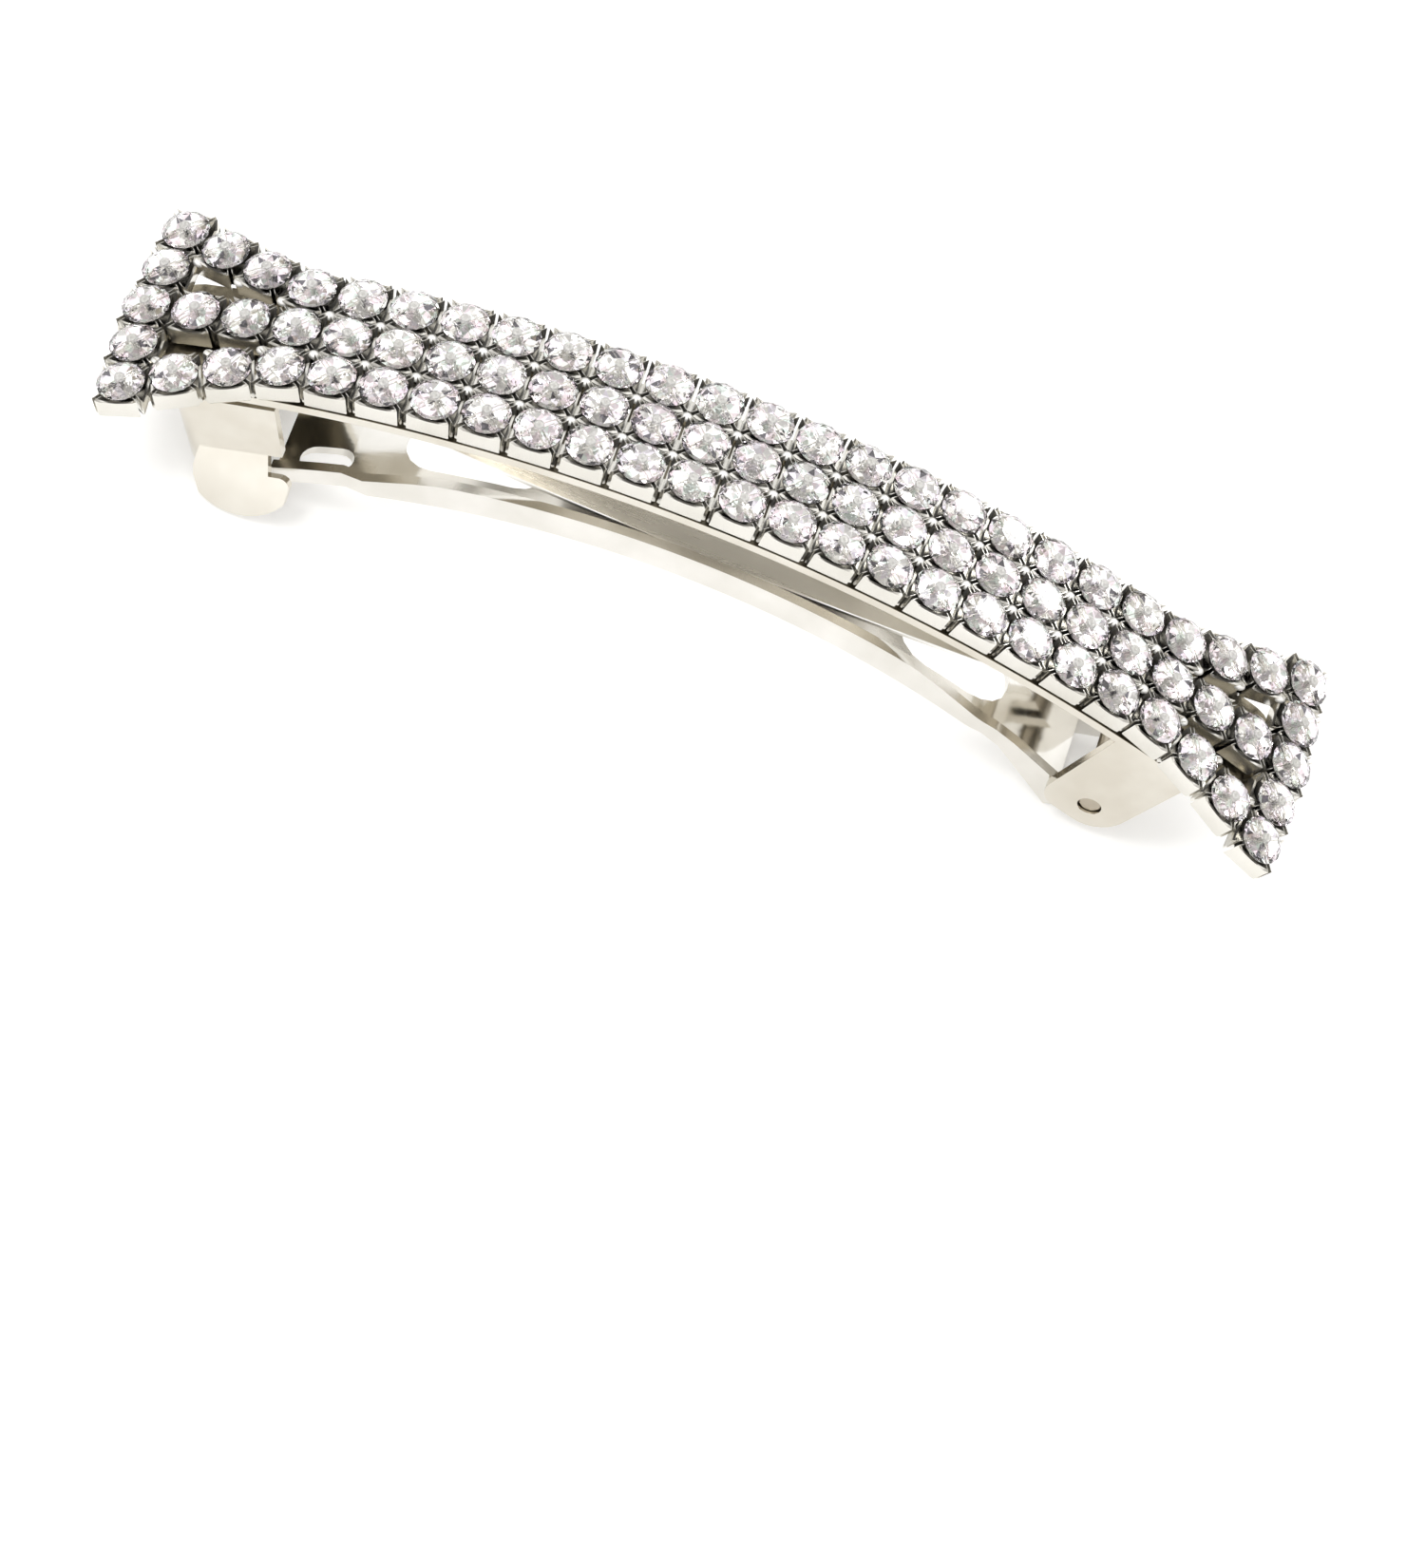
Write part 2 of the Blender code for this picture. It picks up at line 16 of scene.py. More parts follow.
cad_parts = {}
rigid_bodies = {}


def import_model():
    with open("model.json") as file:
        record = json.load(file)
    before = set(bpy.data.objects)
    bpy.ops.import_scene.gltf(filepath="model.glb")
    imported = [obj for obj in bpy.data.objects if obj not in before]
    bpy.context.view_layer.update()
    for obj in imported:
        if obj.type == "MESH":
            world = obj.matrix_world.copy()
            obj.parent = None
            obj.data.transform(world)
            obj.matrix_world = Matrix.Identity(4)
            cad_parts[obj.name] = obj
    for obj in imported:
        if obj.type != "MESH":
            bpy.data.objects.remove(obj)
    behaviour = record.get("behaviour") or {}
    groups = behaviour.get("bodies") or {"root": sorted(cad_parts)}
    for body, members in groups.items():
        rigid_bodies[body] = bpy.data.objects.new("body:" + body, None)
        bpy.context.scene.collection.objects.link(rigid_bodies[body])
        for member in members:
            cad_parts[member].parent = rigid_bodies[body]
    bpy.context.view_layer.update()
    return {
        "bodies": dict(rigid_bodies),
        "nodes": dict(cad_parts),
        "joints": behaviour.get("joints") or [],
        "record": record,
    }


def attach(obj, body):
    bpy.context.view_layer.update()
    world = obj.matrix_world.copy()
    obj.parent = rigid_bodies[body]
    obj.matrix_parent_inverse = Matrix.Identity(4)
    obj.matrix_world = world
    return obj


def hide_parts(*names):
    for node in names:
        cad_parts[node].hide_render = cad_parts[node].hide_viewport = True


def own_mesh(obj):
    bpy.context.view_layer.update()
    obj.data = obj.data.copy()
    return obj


MM = 0.001

# The arch and the layout of the rows, as in the part's source
ARCH_RADIUS = 95.9
CREST_HEIGHT = 18.988
CUP_PITCH = 3.5
CUPS_PER_ROW = 25
ROW_SPACING = 3.325
FAN_SPREAD = (2.0, 1.62, 1.27, 1.02)
FAN_TURN = (6.0, 19.0, 17.0, 8.0)

# A stone, drawn a little larger than its plain solid in the part
STONE_RADIUS = 1.64
STONE_CULET = -1.40
STONE_WOBBLE = 0.03      # radians off level, each way
FACETS = 8
GIRDLE_SIDES = 2 * FACETS
TIP_SIDES = 4
ROW_SEED = 11
END_SEED = 31

# A stone's rings: share of its radius, height, sides, turn in steps and unevenness
TABLE_RING = (0.58, 0.58, FACETS, 0.0, 0.0)
STAR_RING = (0.80, 0.38, FACETS, 0.5, 0.0)
GIRDLE_RING = (1.0, 0.04, GIRDLE_SIDES, 0.0, 0.0)
OUTER_RING = (0.985, -0.07, GIRDLE_SIDES, 0.0, 0.0)
WIDE_RING = (0.74, -0.18, GIRDLE_SIDES, 0.5, 0.055)
SMALL_RING = (0.42, -0.20, FACETS, 0.25, 0.06)
TIP_RING = (0.15, -0.22, TIP_SIDES, 0.1, 0.04)
COAT_TOP_RING = (0.995, -0.10, GIRDLE_SIDES, 0.0, 0.0)
COAT_LOW_RING = (0.60, -0.85, GIRDLE_SIDES, 0.0, 0.0)

# A stone's material slots: the crystal, four common foils, a near-black foil of painted dark
# reflections, and a near-black back coat of painted shade
CRYSTAL_SLOT = 0
FOIL_SLOTS = (1, 1, 1, 1, 2, 2, 3, 3, 4)
DARK_REFLECTION_SLOT = 5
SHADE_COAT_SLOT = 6
DARK_REFLECTION_SHARE = 0.06

# A cup, drawn a little larger than its plain solid in the part
CUP_HALF = 1.655
CUP_WALL = 0.17
CUP_BOTTOM = -1.84
CUP_CORNER = 0.22        # rounding of the upright edges outside
CUP_CORNER_INSIDE = 0.8  # and inside, as a share of that
CUP_SHOULDER = -0.10     # top of the walls beside the claws
CUP_DIPS = (-0.34, -0.85, -0.34, -0.85)    # middles of the rear, right, front and left walls
DIP_EASE = 0.06
CLAW_RUN = 0.46          # half the run of each claw along a wall, from its corner
WALL_STATIONS = 5        # points along each wall
FOOT_SHARE = 0.90
FOOT_RISE = 0.28
FLOOR_SHARE = 0.92
FLOOR_RISE = 0.30
CUP_SMOOTH = 50.0

# The tab between two cups; each place along it has a share of its width
LINK_HALF = 0.5
LINK_LOW = 0.06
LINK_HIGH = 0.42
LINK_REACH = 0.1         # into each cup's wall
LINK_PATH = ((0.0, 1.25), (0.3, 0.85), (0.7, 0.85), (1.0, 1.25))

# A bead of solder between two rows
BEAD_HEIGHT = -0.42
BEAD_RADIUS = 0.36
BEAD_SHAPE = (1.2, 1.0, 0.7, 1.0)

# Redrawing a CAD solid: points this near merge (metres), then in degrees the faces flat
# enough to join, the edges sharp enough to round and the bends gentle enough to smooth.
# The bend of a catch wing stays crisp; the steps of a rounded edge don't.
MERGE_DISTANCE = 0.000002
FLAT_BELOW = 0.6
BEVEL_ABOVE = 30.0
SMOOTH_BELOW = 24.0

# Lowest reach of the plate's strip, above which it takes painted shade and so its tone differs from
# the ears'
STRIP_BOTTOM = -3.35
STRIP_TOP_SLOT = 1
STRIP_EDGE_SLOT = 2

# A claw from its foot to its tip: height, lean inwards, half width and half thickness
CLAW_SIDES = 8
CLAW_DEPTH = 0.7         # share of the thickness kept in plan
CLAW_SLOT = 1
CLAW_PATH = ((-0.60, 0.10, 0.20, 0.10), (-0.20, 0.08, 0.34, 0.15), (0.08, 0.09, 0.38, 0.17),
             (0.28, 0.16, 0.37, 0.17), (0.42, 0.27, 0.33, 0.15), (0.49, 0.38, 0.25, 0.11),
             (0.50, 0.45, 0.12, 0.05))

# The camera, as a direction from the crest
CAMERA_AZIMUTH = -0.0828
CAMERA_ELEVATION = 0.9339
CAMERA_ROLL = 0.4499
CAMERA_DISTANCE = 0.4893
CAMERA_LENS = 190.7
CAMERA_SHIFT = (-0.031, -0.226)

# The stage, in metres. Each light has a place, a size and a power.
FLOOR_HALF = 3.0
LIGHT_TARGET = (0.0, 0.0, 0.01)
LIGHTS = {"key": ((-0.30, -0.20, 0.60), (0.16, 0.16), 0.9),
          "back": ((0.25, 0.45, 0.45), (0.20, 0.12), 0.7)}
SKY_STRENGTH = 1.25
SKY_STOPS = ((0.0, (0.30, 0.27, 0.22)), (0.16, (0.22, 0.19, 0.14)), (0.34, (0.75, 0.74, 0.71)),
             (0.50, (1.0, 1.0, 1.0)), (0.86, (1.0, 1.0, 1.0)), (0.97, (0.45, 0.44, 0.43)))


def arch_point(s, y, n):
    angle = s / ARCH_RADIUS
    radius = ARCH_RADIUS + n
    height = CREST_HEIGHT - ARCH_RADIUS + radius * math.cos(angle)
    return Vector((radius * math.sin(angle), y, height)) * MM


def arch_frame(s, y, n, turn=0.0):
    tilt = Matrix.Rotation(s / ARCH_RADIUS, 4, "Y")
    spin = Matrix.Rotation(turn, 4, "Z")
    return Matrix.Translation(arch_point(s, y, n)) @ tilt @ spin


def row_places(side):
    last = CUPS_PER_ROW - 1
    offsets = [1.0] * CUPS_PER_ROW
    turns = [0.0] * CUPS_PER_ROW
    for i, (spread, turn) in enumerate(zip(FAN_SPREAD, FAN_TURN)):
        offsets[i] = offsets[last - i] = spread
        turns[i] = -turn
        turns[last - i] = turn
    lateral = [side * ROW_SPACING * offset for offset in offsets]
    along = [0.0] * CUPS_PER_ROW
    for i in range(last // 2 + 1, CUPS_PER_ROW):
        step = math.sqrt(CUP_PITCH ** 2 - (lateral[i] - lateral[i - 1]) ** 2)
        along[i] = along[i - 1] + step
        along[last - i] = -along[i]
    return [(s, y, side * math.radians(turn)) for s, y, turn in zip(along, lateral, turns)]


def end_places():
    outer = row_places(1)[-1]
    middle = row_places(0)[-1]
    s = (outer[0] + middle[0]) / 2.0
    y = outer[1] / 2.0
    return {"front_left": (-s, -y, 0.0), "rear_left": (-s, y, 0.0),
            "front_right": (s, -y, 0.0), "rear_right": (s, y, 0.0)}


# ---------------------------------------------------------------- materials

def new_material(name):
    material = bpy.data.materials.new(name)
    material.use_nodes = True
    tree = material.node_tree
    return material, tree, tree.nodes["Principled BSDF"]


def node(tree, kind, **values):
    item = tree.nodes.new(kind)
    for key, value in values.items():
        if key in item.inputs:
            item.inputs[key].default_value = value
        else:
            setattr(item, key, value)
    return item


def plated(name, dark, light, roughness, scratch=0.35, bump=0.02, metallic=1.0):
    """Polished plating: faint cloudy tone, fine drawn lines and a little unevenness."""
    material, tree, shader = new_material(name)
    links = tree.links
    place = node(tree, "ShaderNodeTexCoord")
    cloud = node(tree, "ShaderNodeTexNoise", Scale=190.0, Detail=3.0)
    stretch = node(tree, "ShaderNodeMapping", Scale=(60.0, 1600.0, 900.0))
    lines = node(tree, "ShaderNodeTexNoise", Scale=1.0, Detail=4.0)
    ramp = node(tree, "ShaderNodeValToRGB")
    ramp.color_ramp.elements[0].position = 0.35
    ramp.color_ramp.elements[0].color = (*dark, 1.0)
    ramp.color_ramp.elements[1].position = 0.65
    ramp.color_ramp.elements[1].color = (*light, 1.0)
    rough = node(tree, "ShaderNodeMapRange")
    rough.inputs["To Min"].default_value = roughness
    rough.inputs["To Max"].default_value = roughness * (1.0 + scratch)
    relief = node(tree, "ShaderNodeBump", Strength=bump, Distance=0.0002)
    links.new(place.outputs["Object"], cloud.inputs["Vector"])
    links.new(place.outputs["Object"], stretch.inputs["Vector"])
    links.new(stretch.outputs["Vector"], lines.inputs["Vector"])
    links.new(cloud.outputs["Fac"], ramp.inputs["Fac"])
    links.new(lines.outputs["Fac"], rough.inputs["Value"])
    links.new(lines.outputs["Fac"], relief.inputs["Height"])
    links.new(ramp.outputs["Color"], shader.inputs["Base Color"])
    links.new(rough.outputs["Result"], shader.inputs["Roughness"])
    links.new(relief.outputs["Normal"], shader.inputs["Normal"])
    shader.inputs["Metallic"].default_value = metallic
    return material


def crystal(name, tint):
    material, tree, shader = new_material(name)
    shader.inputs["Base Color"].default_value = (*tint, 1.0)
    shader.inputs["Roughness"].default_value = 0.0
    shader.inputs["IOR"].default_value = 1.56
    shader.inputs["Transmission Weight"].default_value = 1.0
    return material


def foil(name, tint, roughness):
    material, tree, shader = new_material(name)
    shader.inputs["Base Color"].default_value = (*tint, 1.0)
    shader.inputs["Metallic"].default_value = 1.0
    shader.inputs["Roughness"].default_value = roughness
    return material


def painted_shade_coat(name, colour):
    """Painted shade: a near-black coat over the back of the foil, seen only in the gap under a
    stone's edge, where that gap lies in shadow.
    """
    material, tree, shader = new_material(name)
    shader.inputs["Base Color"].default_value = (*colour, 1.0)
    shader.inputs["Roughness"].default_value = 0.35
    return material


def make_materials():
    return {
        "plate": plated("nickel_polished", (0.66, 0.62, 0.54), (0.76, 0.73, 0.66), 0.10),
        "cup": plated("nickel_cup", (0.70, 0.68, 0.62), (0.80, 0.78, 0.73), 0.18, 0.3, 0.01, 0.9),
        # painted highlight: the claws and solder beads take the cups' metal drawn much paler, so
        # the junctions between stones read bright
        "claw": plated("claw_painted_highlight", (0.93, 0.92, 0.88), (0.98, 0.97, 0.95), 0.42, 0.2, 0.01,
                       0.55),
        # painted shadow: near-black tone on the strip's top, for the shadow gap between the cups
        # and the plate
        "seam": plated("seam_painted_shadow", (0.25, 0.22, 0.16), (0.42, 0.38, 0.30), 0.22),
        # painted shade: a darker tan for the strip's edges, which lie in shade under the cups
        "strip": plated("strip_painted_shade", (0.52, 0.48, 0.40), (0.66, 0.62, 0.54), 0.16),
        "lever": plated("lever_plated", (0.74, 0.72, 0.67), (0.84, 0.82, 0.78), 0.10),
        # painted light: the spring's plating drawn paler than the rest, so it reads bright where it
        # lies in shade under the plate
        "leaf": plated("spring_painted_light", (0.90, 0.89, 0.86), (0.97, 0.96, 0.94), 0.24),
        "pin": plated("pin_wire", (0.46, 0.41, 0.33), (0.58, 0.53, 0.44), 0.25),
        "crystal": crystal("crystal_clear", (1.0, 0.995, 0.985)),
        "foils": [
            foil("foil_silver", (0.985, 0.975, 0.96), 0.06),
            foil("foil_rose", (0.97, 0.87, 0.92), 0.07),
            foil("foil_lilac", (0.94, 0.90, 0.97), 0.05),
            foil("foil_mint", (0.89, 0.97, 0.93), 0.06),
            # painted dark reflection: a near-black foil on a few facets, for the stones' black
            # spots
            foil("foil_painted_dark_reflection", (0.16, 0.15, 0.17), 0.12),
        ],
        # painted shade: near-black for the shadowed gap under each stone's girdle
        "painted_shade_coat": painted_shade_coat("foil_back_painted_shade", (0.035, 0.028, 0.022)),
    }


# ---------------------------------------------------------------- mesh helpers

def to_object(bm, name, materials, smooth_angle=None):
    bmesh.ops.recalc_face_normals(bm, faces=bm.faces[:])
    mesh = bpy.data.meshes.new(name)
    bm.to_mesh(mesh)
    bm.free()
    item = bpy.data.objects.new(name, mesh)
    bpy.context.scene.collection.objects.link(item)
    for material in materials:
        mesh.materials.append(material)
    if smooth_angle is not None:
        mesh.shade_smooth()
        mesh.set_sharp_from_angle(angle=math.radians(smooth_angle))
    return item


def bevel(bm, width, segments):
    """Round the solid's sharp edges."""
    limit = math.radians(BEVEL_ABOVE)
    edges = [e for e in bm.edges if len(e.link_faces) == 2 and e.calc_face_angle(0.0) > limit]
    bmesh.ops.bevel(bm, geom=edges, offset=width * MM, offset_type="OFFSET", segments=segments,
                    profile=0.5, affect="EDGES", clamp_overlap=True)


def weigh_normals(mesh, angle):
    """Smooth across edges flatter than the angle, with the larger faces leading."""
    limit = math.cos(math.radians(angle))
    around = [[] for _ in mesh.vertices]
    for face in mesh.polygons:
        for corner in face.vertices:
            around[corner].append(face)
    normals = []
    for face in mesh.polygons:
        for corner in face.vertices:
            total = Vector()
            for near in around[corner]:
                if near.normal.dot(face.normal) > limit:
                    total += near.normal * near.area
            normals.append(total.normalized())
    mesh.shade_smooth()
    mesh.normals_split_custom_set(normals)


# ---------------------------------------------------------------- stones

def add_stone(bm, frame, draw):
    """A brilliant chaton: crown facets over a foiled floor of small tilted facets."""

    def ring(share, n, sides, half_step, jitter):
        r = share * STONE_RADIUS
        points = []
        for i in range(sides):
            a = math.tau * (i + half_step) / sides
            level = n + draw.uniform(-jitter, jitter)
            point = Vector((r * math.cos(a), r * math.sin(a), level)) * MM
            points.append(bm.verts.new(frame @ point))
        return points

    def add(corners, index):
        bm.faces.new(corners).material_index = index

    table = ring(*TABLE_RING)
    star = ring(*STAR_RING)
    girdle = ring(*GIRDLE_RING)
    add(table, CRYSTAL_SLOT)
    for i in range(FACETS):
        j = (i + 1) % FACETS
        after = girdle[(2 * i + 2) % GIRDLE_SIDES]
        add((table[i], star[i], table[j]), CRYSTAL_SLOT)
        add((table[i], star[i - 1], girdle[2 * i], star[i]), CRYSTAL_SLOT)
        add((star[i], girdle[2 * i], girdle[2 * i + 1]), CRYSTAL_SLOT)
        add((star[i], girdle[2 * i + 1], after), CRYSTAL_SLOT)

    # The pavilion as it looks through the crown: shallow facets, each at its own tilt
    outer = ring(*OUTER_RING)
    wide = ring(*WIDE_RING)
    small = ring(*SMALL_RING)
    tip = ring(*TIP_RING)

    # a few facets take the near-black foil: painted dark reflections
    def pick_foil():
        if draw.random() < DARK_REFLECTION_SHARE:
            return DARK_REFLECTION_SLOT
        return draw.choice(FOIL_SLOTS)

    for i in range(GIRDLE_SIDES):
        j = (i + 1) % GIRDLE_SIDES
        add((girdle[i], girdle[j], outer[j], outer[i]), CRYSTAL_SLOT)
        add((outer[i], outer[j], wide[i]), pick_foil())
        add((outer[j], wide[j], wide[i]), pick_foil())
    for i in range(FACETS):
        j = (i + 1) % FACETS
        add((small[i], wide[2 * i], wide[2 * i + 1]), pick_foil())
        add((small[i], wide[2 * i + 1], small[j]), pick_foil())
        add((small[j], wide[2 * i + 1], wide[(2 * i + 2) % GIRDLE_SIDES]), pick_foil())
    for i in range(TIP_SIDES):
        j = (i + 1) % TIP_SIDES
        after = small[(2 * i + 2) % FACETS]
        add((tip[i], small[2 * i], small[2 * i + 1]), pick_foil())
        add((tip[i], small[2 * i + 1], tip[j]), pick_foil())
        add((tip[j], small[2 * i + 1], after), pick_foil())
    add(tip, pick_foil())

    # The near-black coat on the outside of the pointed back: painted shade for the shadowed gap
    # under the girdle
    coat_top = ring(*COAT_TOP_RING)
    coat_low = ring(*COAT_LOW_RING)
    culet = bm.verts.new(frame @ (Vector((0.0, 0.0, STONE_CULET)) * MM))
    for i in range(GIRDLE_SIDES):
        j = (i + 1) % GIRDLE_SIDES
        add((coat_top[j], coat_top[i], coat_low[i], coat_low[j]), SHADE_COAT_SLOT)
        add((coat_low[j], coat_low[i], culet), SHADE_COAT_SLOT)


def make_stones(name, places, materials, seed):
    draw = random.Random(seed)
    bm = bmesh.new()
    for s, y, turn in places:
        wobble = Matrix.Rotation(draw.uniform(-STONE_WOBBLE, STONE_WOBBLE), 4, "X")
        wobble = wobble @ Matrix.Rotation(draw.uniform(-STONE_WOBBLE, STONE_WOBBLE), 4, "Y")
        spin = Matrix.Rotation(draw.uniform(0.0, math.tau), 4, "Z")
        add_stone(bm, arch_frame(s, y, 0.0, turn) @ wobble @ spin, draw)
    return to_object(bm, name, [materials["crystal"]] + materials["foils"] + [materials["painted_shade_coat"]])


# ---------------------------------------------------------------- cups

def add_cup(bm, frame):
    """A folded square cup: walls dipped between the claws, claws bent over the stone."""

    def vert(point, n):
        return bm.verts.new(frame @ (Vector((point[0], point[1], n)) * MM))

    def square(half, cut):
        """Points round a square with cut corners, with claw and wall stations on each side."""
        end = half - cut
        claw_side = half - CLAW_RUN - cut / 2.0
        stations = (end, claw_side, 0.0, -claw_side, -end)
        points = []
        for quarter in range(4):
            turn = Matrix.Rotation(-math.pi / 2.0 * quarter, 2)
            for station in stations:
                points.append(turn @ Vector((station, half)))
        return points

    rim = []
    for dip in CUP_DIPS:
        rim += [CUP_SHOULDER, dip + DIP_EASE, dip, dip + DIP_EASE, CUP_SHOULDER]
    outer = square(CUP_HALF, CUP_CORNER)
    inner = square(CUP_HALF - CUP_WALL, CUP_CORNER * CUP_CORNER_INSIDE)
    count = len(outer)
    foot = [vert(p * FOOT_SHARE, CUP_BOTTOM) for p in outer]
    hip = [vert(p, CUP_BOTTOM + FOOT_RISE) for p in outer]
    top = [vert(p, n) for p, n in zip(outer, rim)]
    lip = [vert(p, n) for p, n in zip(inner, rim)]
    floor = [vert(p * FLOOR_SHARE, CUP_BOTTOM + FLOOR_RISE) for p in inner]
    for ring_a, ring_b in ((foot, hip), (hip, top), (top, lip), (lip, floor)):
        for i in range(count):
            j = (i + 1) % count
            bm.faces.new((ring_a[i], ring_a[j], ring_b[j], ring_b[i]))
    bm.faces.new(foot)
    bm.faces.new(floor)
    for quarter in range(4):
        i = (quarter + 1) * WALL_STATIONS - 1
        add_claw(bm, vert, outer[i], outer[(i + 1) % count])


def add_claw(bm, vert, out_a, out_b):
    """A rounded claw that rises from a cup's corner and bends in over the girdle."""
    middle = (out_a + out_b) / 2.0
    inward = -middle.normalized()
    side = (out_b - out_a).normalized()
    rings = []
    for n, lean, wide, thick in CLAW_PATH:
        ring = []
        for step in range(CLAW_SIDES):
            angle = math.tau * step / CLAW_SIDES
            across = side * wide * math.cos(angle)
            depth = thick * math.sin(angle)
            place = middle + inward * (lean + depth * CLAW_DEPTH) + across
            ring.append(vert(place, n - depth * lean))
        rings.append(ring)
    for ring_a, ring_b in zip(rings, rings[1:]):
        for k in range(CLAW_SIDES):
            m = (k + 1) % CLAW_SIDES
            side_face = bm.faces.new((ring_a[k], ring_a[m], ring_b[m], ring_b[k]))
            side_face.material_index = CLAW_SLOT
    bm.faces.new(rings[0]).material_index = CLAW_SLOT
    bm.faces.new(rings[-1]).material_index = CLAW_SLOT


def add_link(bm, start, end):
    """The tab that joins two cups."""
    a = Vector((start[0], start[1]))
    b = Vector((end[0], end[1]))
    direction = (b - a).normalized()
    across = Vector((-direction.y, direction.x)) * LINK_HALF
    low, high = CUP_BOTTOM + LINK_LOW, CUP_BOTTOM + LINK_HIGH
    reach = direction * (CUP_HALF - LINK_REACH)
    first, last = a + reach, b - reach
    rings = []
    for t, scale in LINK_PATH:
        p = first.lerp(last, t)
        plan = ((p - across * scale, low), (p + across * scale, low),
                (p + across * scale, high), (p - across * scale, high))
        rings.append([bm.verts.new(arch_point(q.x, q.y, n)) for q, n in plan])
    bm.faces.new(rings[0])
    bm.faces.new(rings[-1])
    for ring_a, ring_b in zip(rings, rings[1:]):
        for i in range(4):
            j = (i + 1) % 4
            bm.faces.new((ring_a[i], ring_a[j], ring_b[j], ring_b[i]))


def add_bead(bm, s, y):
    """A small drop of solder between two rows."""
    matrix = Matrix.Translation(arch_point(s, y, BEAD_HEIGHT)) @ Matrix.Diagonal(BEAD_SHAPE)
    bead = bmesh.ops.create_icosphere(bm, subdivisions=2, radius=BEAD_RADIUS * MM, matrix=matrix)
    for vertex in bead["verts"]:
        for face in vertex.link_faces:
            face.material_index = CLAW_SLOT


def make_cups(name, places, materials, links, beads_side=0):
    bm = bmesh.new()
    for s, y, turn in places:
        add_cup(bm, arch_frame(s, y, 0.0, turn))
    if links:
        for start, end in zip(places, places[1:]):
            add_link(bm, start, end)
            if beads_side:
                s = (start[0] + end[0]) / 2.0
                y = (start[1] + end[1]) / 2.0 - beads_side * ROW_SPACING / 2.0
                add_bead(bm, s, y)
    return to_object(bm, name, [materials["cup"], materials["claw"]], CUP_SMOOTH)


def build_stones_and_cups(materials):
    for seed, (label, side) in enumerate((("front", -1), ("middle", 0), ("rear", 1))):
        places = row_places(side)
        stones = make_stones(f"chatons_{label}", places, materials, ROW_SEED + seed)
        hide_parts(f"stones_{label}")
        cups = make_cups(f"claw_cups_{label}", places, materials, True, side)
        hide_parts(f"cup_chain_{label}")
        finish_piece(stones, "frame")
        finish_piece(cups, "frame")
    for seed, (label, place) in enumerate(end_places().items()):
        stone = make_stones(f"chaton_{label}", [place], materials, END_SEED + seed)
        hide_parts(f"end_stone_{label}")
        cup = make_cups(f"claw_cup_{label}", [place], materials, False)
        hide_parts(f"end_cup_{label}")
        finish_piece(stone, "frame")
        finish_piece(cup, "frame")


def finish_piece(item, body):
    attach(item, body)


# ---------------------------------------------------------------- clasp

def rounded_copy(frame, name, cad_name, material, width, segments, body):
    """The CAD solid again with its sheet edges rounded."""
    source = frame["nodes"][cad_name]
    bm = bmesh.new()
    bm.from_mesh(source.data)
    bmesh.ops.transform(bm, matrix=source.matrix_world, verts=bm.verts[:])
    bmesh.ops.remove_doubles(bm, verts=bm.verts[:], dist=MERGE_DISTANCE)
    bmesh.ops.dissolve_limit(bm, angle_limit=math.radians(FLAT_BELOW), verts=bm.verts[:],
                             edges=bm.edges[:])
    bevel(bm, width, segments)
    item = to_object(bm, name, [material])
    weigh_normals(item.data, SMOOTH_BELOW)
    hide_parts(cad_name)
    finish_piece(item, body)
    return item


def tone_plate(strip, materials):
    """Painted shade: a near-black tone on the strip's hidden top for the shadow gap under the cups,
    and a darker, duller tone along its edges for the shade under them.
    """
    strip.data.materials.append(materials["seam"])
    strip.data.materials.append(materials["strip"])
    centre = arch_point(0.0, 0.0, -ARCH_RADIUS)
    for face in strip.data.polygons:
        offset = face.center - centre
        up = Vector((offset.x, 0.0, offset.z)).normalized()
        height = math.hypot(offset.x, offset.z) / MM - ARCH_RADIUS
        if height < STRIP_BOTTOM:
            continue
        faces_up = face.normal.dot(up) > 0.5
        face.material_index = STRIP_TOP_SLOT if faces_up else STRIP_EDGE_SLOT


def build_clasp(frame, materials):
    plate = materials["plate"]
    strip = rounded_copy(frame, "plate_strip", "base_plate", plate, 0.12, 3, "frame")
    tone_plate(strip, materials)
    rounded_copy(frame, "lever_channel", "lever", materials["lever"], 0.12, 3, "lever")
    leaf = rounded_copy(frame, "leaf_bow", "spring_leaf", materials["leaf"], 0.05, 1, "frame")
    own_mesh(leaf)
    rounded_copy(frame, "pin_rod", "hinge_pin", materials["pin"], 0.08, 3, "frame")
    for label in ("front", "rear"):
        rounded_copy(frame, f"wing_{label}", f"catch_wing_{label}", plate, 0.14, 3,
                     f"wing_{label}")


# ---------------------------------------------------------------- stage

def camera_axes():
    a, e, r = CAMERA_AZIMUTH, CAMERA_ELEVATION, CAMERA_ROLL
    right = Vector((math.cos(a), math.sin(a), 0.0))
    up = Vector((-math.sin(e) * math.sin(a), math.sin(e) * math.cos(a), math.cos(e)))
    back = Vector((math.sin(a) * math.cos(e), -math.cos(a) * math.cos(e), math.sin(e)))
    return (math.cos(r) * right + math.sin(r) * up, math.cos(r) * up - math.sin(r) * right, back)


def build_camera():
    right, up, back = camera_axes()
    data = bpy.data.cameras.new("camera")
    data.sensor_fit = "HORIZONTAL"
    data.sensor_width = 36.0
    data.lens = CAMERA_LENS
    data.shift_x, data.shift_y = CAMERA_SHIFT
    data.clip_start = 0.01
    data.clip_end = 20.0
    camera = bpy.data.objects.new("camera", data)
    place = arch_point(0.0, 0.0, 0.0) + back * CAMERA_DISTANCE
    turn = Matrix((right, up, back)).transposed().to_4x4()
    camera.matrix_world = Matrix.Translation(place) @ turn
    bpy.context.scene.collection.objects.link(camera)
    bpy.context.scene.camera = camera


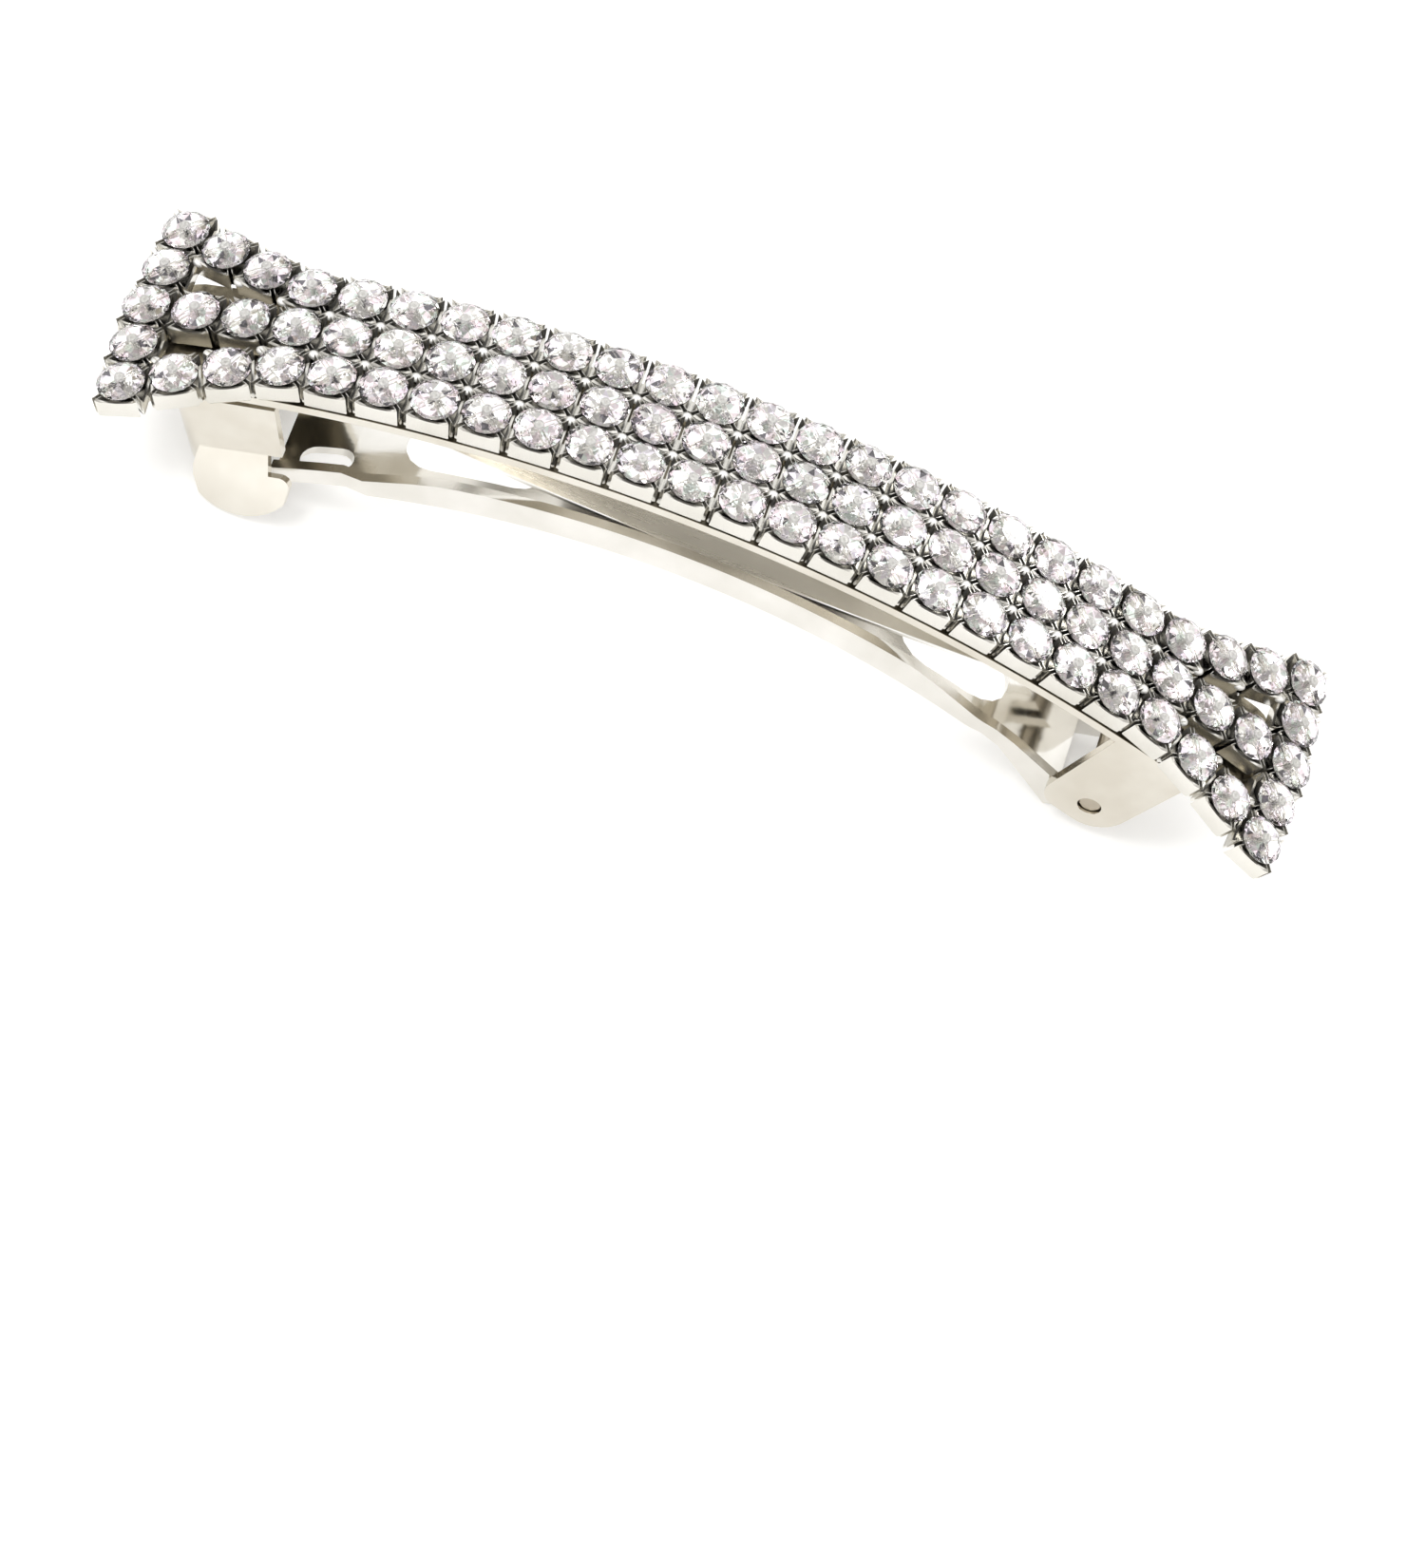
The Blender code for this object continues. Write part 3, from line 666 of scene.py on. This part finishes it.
def area_light(name, position, size, power):
    data = bpy.data.lights.new(name, "AREA")
    data.shape = "RECTANGLE"
    data.size, data.size_y = size
    data.energy = power
    light = bpy.data.objects.new(name, data)
    light.location = position
    direction = Vector(LIGHT_TARGET) - Vector(position)
    light.rotation_euler = direction.to_track_quat("-Z", "Y").to_euler()
    bpy.context.scene.collection.objects.link(light)


def build_world():
    """A white tent overhead that falls to a darker warm band above the horizon."""
    world = bpy.data.worlds.new("studio")
    world.use_nodes = True
    tree = world.node_tree
    background = tree.nodes["Background"]
    place = node(tree, "ShaderNodeTexCoord")
    split = node(tree, "ShaderNodeSeparateXYZ")
    ramp = node(tree, "ShaderNodeValToRGB")
    elements = ramp.color_ramp.elements
    while len(elements) < len(SKY_STOPS):
        elements.new(0.5)
    for element, (position, colour) in zip(elements, SKY_STOPS):
        element.position = position
        element.color = (*colour, 1.0)
    tree.links.new(place.outputs["Generated"], split.inputs["Vector"])
    tree.links.new(split.outputs["Z"], ramp.inputs["Fac"])
    tree.links.new(ramp.outputs["Color"], background.inputs["Color"])
    background.inputs["Strength"].default_value = SKY_STRENGTH
    bpy.context.scene.world = world


def build_stage():
    bm = bmesh.new()
    bmesh.ops.create_grid(bm, x_segments=1, y_segments=1, size=FLOOR_HALF)
    material, tree, shader = new_material("floor_paper")
    grain = node(tree, "ShaderNodeTexNoise", Scale=400.0, Detail=2.0)
    ramp = node(tree, "ShaderNodeValToRGB")
    ramp.color_ramp.elements[0].color = (0.90, 0.90, 0.90, 1.0)
    ramp.color_ramp.elements[1].color = (0.93, 0.93, 0.93, 1.0)
    tree.links.new(grain.outputs["Fac"], ramp.inputs["Fac"])
    tree.links.new(ramp.outputs["Color"], shader.inputs["Base Color"])
    shader.inputs["Roughness"].default_value = 0.9
    shader.inputs["Emission Color"].default_value = (1.0, 1.0, 1.0, 1.0)
    shader.inputs["Emission Strength"].default_value = 0.25
    floor = to_object(bm, "floor", [material])

    build_world()
    for name, (position, size, power) in LIGHTS.items():
        area_light(name, position, size, power)
    scene = bpy.context.scene
    scene.view_settings.view_transform = "Standard"
    scene.view_settings.exposure = 0.0


def main():
    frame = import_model()
    materials = make_materials()
    build_stones_and_cups(materials)
    build_clasp(frame, materials)
    build_stage()
    build_camera()


main()
